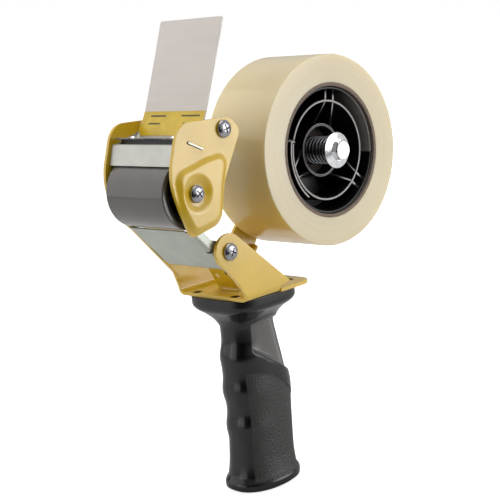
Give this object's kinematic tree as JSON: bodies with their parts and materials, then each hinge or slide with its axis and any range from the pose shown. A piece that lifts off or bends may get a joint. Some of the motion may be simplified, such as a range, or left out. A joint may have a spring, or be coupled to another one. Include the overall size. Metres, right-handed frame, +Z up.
{
  "type": "tape gun dispenser",
  "caption": "Hand-held packing tape dispenser: steel side-plate frame, rubber roller, blade, wiper flap, braked hub with a tape roll, and a pistol grip.",
  "frame": {"origin": "on the foot face at the bottom of the handle, on the tool's mid-plane, 58 mm in front of the hub's axis", "axes": "+X forward to the roller and blade, +Y to the open side where a roll is loaded, +Z up along the handle"},
  "size_m": [0.192, 0.0649, 0.277],
  "materials": {
    "yellow_paint": "smooth semi-gloss yellow paint on sheet steel",
    "zinc_sheet": "satin zinc-plated sheet",
    "hold_down_zinc": "satin grey-green plated sheet",
    "blade_steel": "ground steel",
    "bright_zinc": "bright plated",
    "rod_steel": "turned and plated",
    "spring_wire": "dark spring wire",
    "bright_wire": "bright spring wire",
    "roller_rubber": "smooth satin dark rubber",
    "black_moulding": "moulded",
    "hub_plastic": "glossy moulded",
    "grip_plastic": "semi-gloss with a grained side panel",
    "bush_plastic": "natural bearing plastic",
    "clear_film": "translucent grey sheet",
    "band_film": "printed band without lettering",
    "fibre": "friction fibre",
    "core_board": "wound board",
    "tape_film": "wound clear film with a side grain of layers",
    "black_screws": "black oxide"
  },
  "bodies": {
    "frame_body": {"frame": "yellow_paint", "near_cheek": "yellow_paint", "front_guard": "zinc_sheet", "blade_seat": "black_moulding", "blade": "blade_steel", "blade_screws": "bright_zinc", "flap_clamp": "zinc_sheet", "clamp_screws": "bright_zinc", "flap_foot": "clear_film", "upper_rod": "rod_steel", "lower_rod": "rod_steel", "roller_axle": "rod_steel", "near_screws": "bright_zinc", "far_screws": "bright_zinc", "hold_down_spring": "spring_wire", "hub_stud": "rod_steel", "seat_washer": "fibre", "friction_washer": "fibre", "brake_spring": "bright_wire", "handle": "grip_plastic", "handle_screws": "black_screws"},
    "flap": {"wiper_flap": "clear_film", "flap_band": "band_film"},
    "roller": {"roller_sleeve": "roller_rubber", "roller_core": "black_moulding", "roller_bushes": "bush_plastic"},
    "hold_down": {"hold_down_plate": "hold_down_zinc"},
    "hub": {"hub": "hub_plastic"},
    "tape": {"tape_core": "core_board", "tape_roll": "tape_film"},
    "brake_cap": {"cap_washer": "bright_zinc"},
    "brake_bolt": {"brake_bolt": "bright_zinc"}
  },
  "joints": [
    {"name": "hub_spin", "type": "hinge", "parent": "frame_body", "child": "hub", "pos_m": [-0.058, 0, 0.191], "axis": [0, 1, 0], "continuous": true},
    {"name": "tape_load", "type": "slide", "parent": "hub", "child": "tape", "axis": [0, 1, 0], "range_m": [0, 0.06]},
    {"name": "roller_spin", "type": "hinge", "parent": "frame_body", "child": "roller", "pos_m": [0.057, 0, 0.1855], "axis": [0, 1, 0], "continuous": true},
    {"name": "hold_down_swing", "type": "hinge", "parent": "frame_body", "child": "hold_down", "pos_m": [0.0376, 0, 0.1496], "axis": [0, 1, 0], "range_deg": [0, 28], "stiffness_Nm_per_rad": 0.05, "deforming": ["hold_down_spring"]},
    {"name": "flap_flex", "type": "hinge", "parent": "frame_body", "child": "flap", "pos_m": [0.046, 0, 0.2174], "axis": [0, 1, 0], "range_deg": [-40, 35], "stiffness_Nm_per_rad": 0.05},
    {"name": "brake_travel", "type": "slide", "parent": "frame_body", "child": "brake_cap", "axis": [0, 1, 0], "range_m": [-0.00185, 0.00185], "deforming": ["brake_spring"]},
    {"name": "brake_turn", "type": "hinge", "parent": "brake_cap", "child": "brake_bolt", "pos_m": [-0.058, 0, 0.191], "axis": [0, 1, 0], "range_deg": [-540, 540]}
  ],
  "couplings": [
    {"joint": "brake_turn", "follows": "brake_travel", "rad_per_m": 5026.5}
  ]
}
